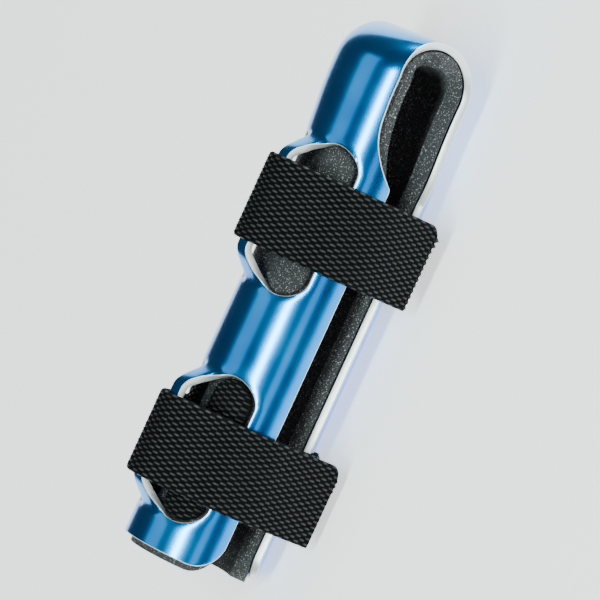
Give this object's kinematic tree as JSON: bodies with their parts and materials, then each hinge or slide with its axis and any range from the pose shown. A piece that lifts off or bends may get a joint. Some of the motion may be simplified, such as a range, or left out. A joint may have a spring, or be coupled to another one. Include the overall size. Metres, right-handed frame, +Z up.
{
  "type": "fold-over finger splint",
  "caption": "Channel-shaped metal strip folded over the fingertip into a front and a back arm, foam lined, with webbing straps held at raised bridges in the front arm's slots.",
  "frame": {"origin": "middle of the underside, where the backs of the straps rest on a surface", "axes": "+X along the finger towards the folded tip, +Y to the splint's left, +Z up out of the front arm"},
  "size_m": [0.1036, 0.03, 0.0337],
  "materials": {
    "anodised_metal": "bright blue anodised sheet with bare silver cut edges",
    "black_foam": "matt black granular foam",
    "black_webbing": "black woven webbing with a diamond weave"
  },
  "bodies": {
    "root": {"metal_shell": "anodised_metal", "foam_lining": "black_foam", "upper_strap": "black_webbing", "lower_strap": "black_webbing"}
  },
  "joints": []
}
